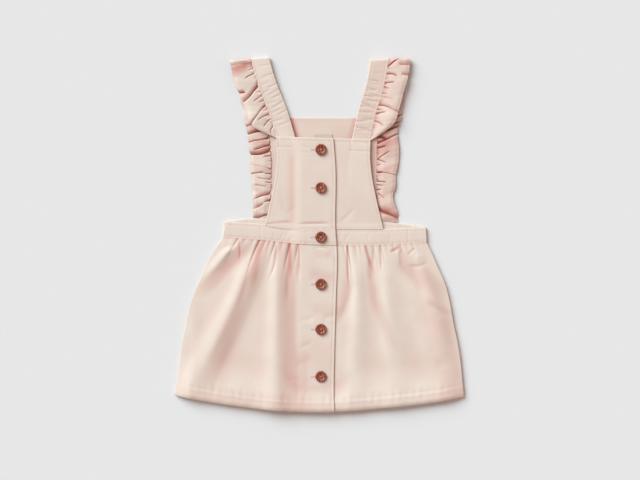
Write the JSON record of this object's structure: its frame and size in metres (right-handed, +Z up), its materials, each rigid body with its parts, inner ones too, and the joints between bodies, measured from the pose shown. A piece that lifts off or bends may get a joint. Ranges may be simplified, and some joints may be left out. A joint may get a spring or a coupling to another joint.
{
  "type": "child's bib pinafore dress laid flat",
  "caption": "Child's sleeveless bib pinafore in twill, laid flat: gathered skirt, waistband, buttoned front placket, and shoulder straps edged with gathered ruffles.",
  "frame": {"origin": "the middle of the back waistband's underside, on the surface that the garment lies on", "axes": "+Z up from the surface through the back and then the front; +Y from the hem to the shoulders; +X to the wearer's left"},
  "size_m": [0.3742, 0.4617, 0.013],
  "materials": {
    "twill": "pale pink cotton twill, lightly brushed",
    "button": "marbled red-brown moulded polyester, polished",
    "label": "white woven tape, blank"
  },
  "bodies": {
    "root": {"skirt_right": "twill", "skirt_left": "twill", "skirt_back": "twill", "waistband_right": "twill", "waistband_left": "twill", "waistband_back": "twill", "bib_right": "twill", "bib_left": "twill", "bib_back": "twill", "strap_right": "twill", "strap_left": "twill", "ruffle_right": "twill", "ruffle_left": "twill", "label": "label", "button_1": "button", "button_2": "button", "button_3": "button", "button_4": "button", "button_5": "button", "button_6": "button"}
  },
  "joints": []
}
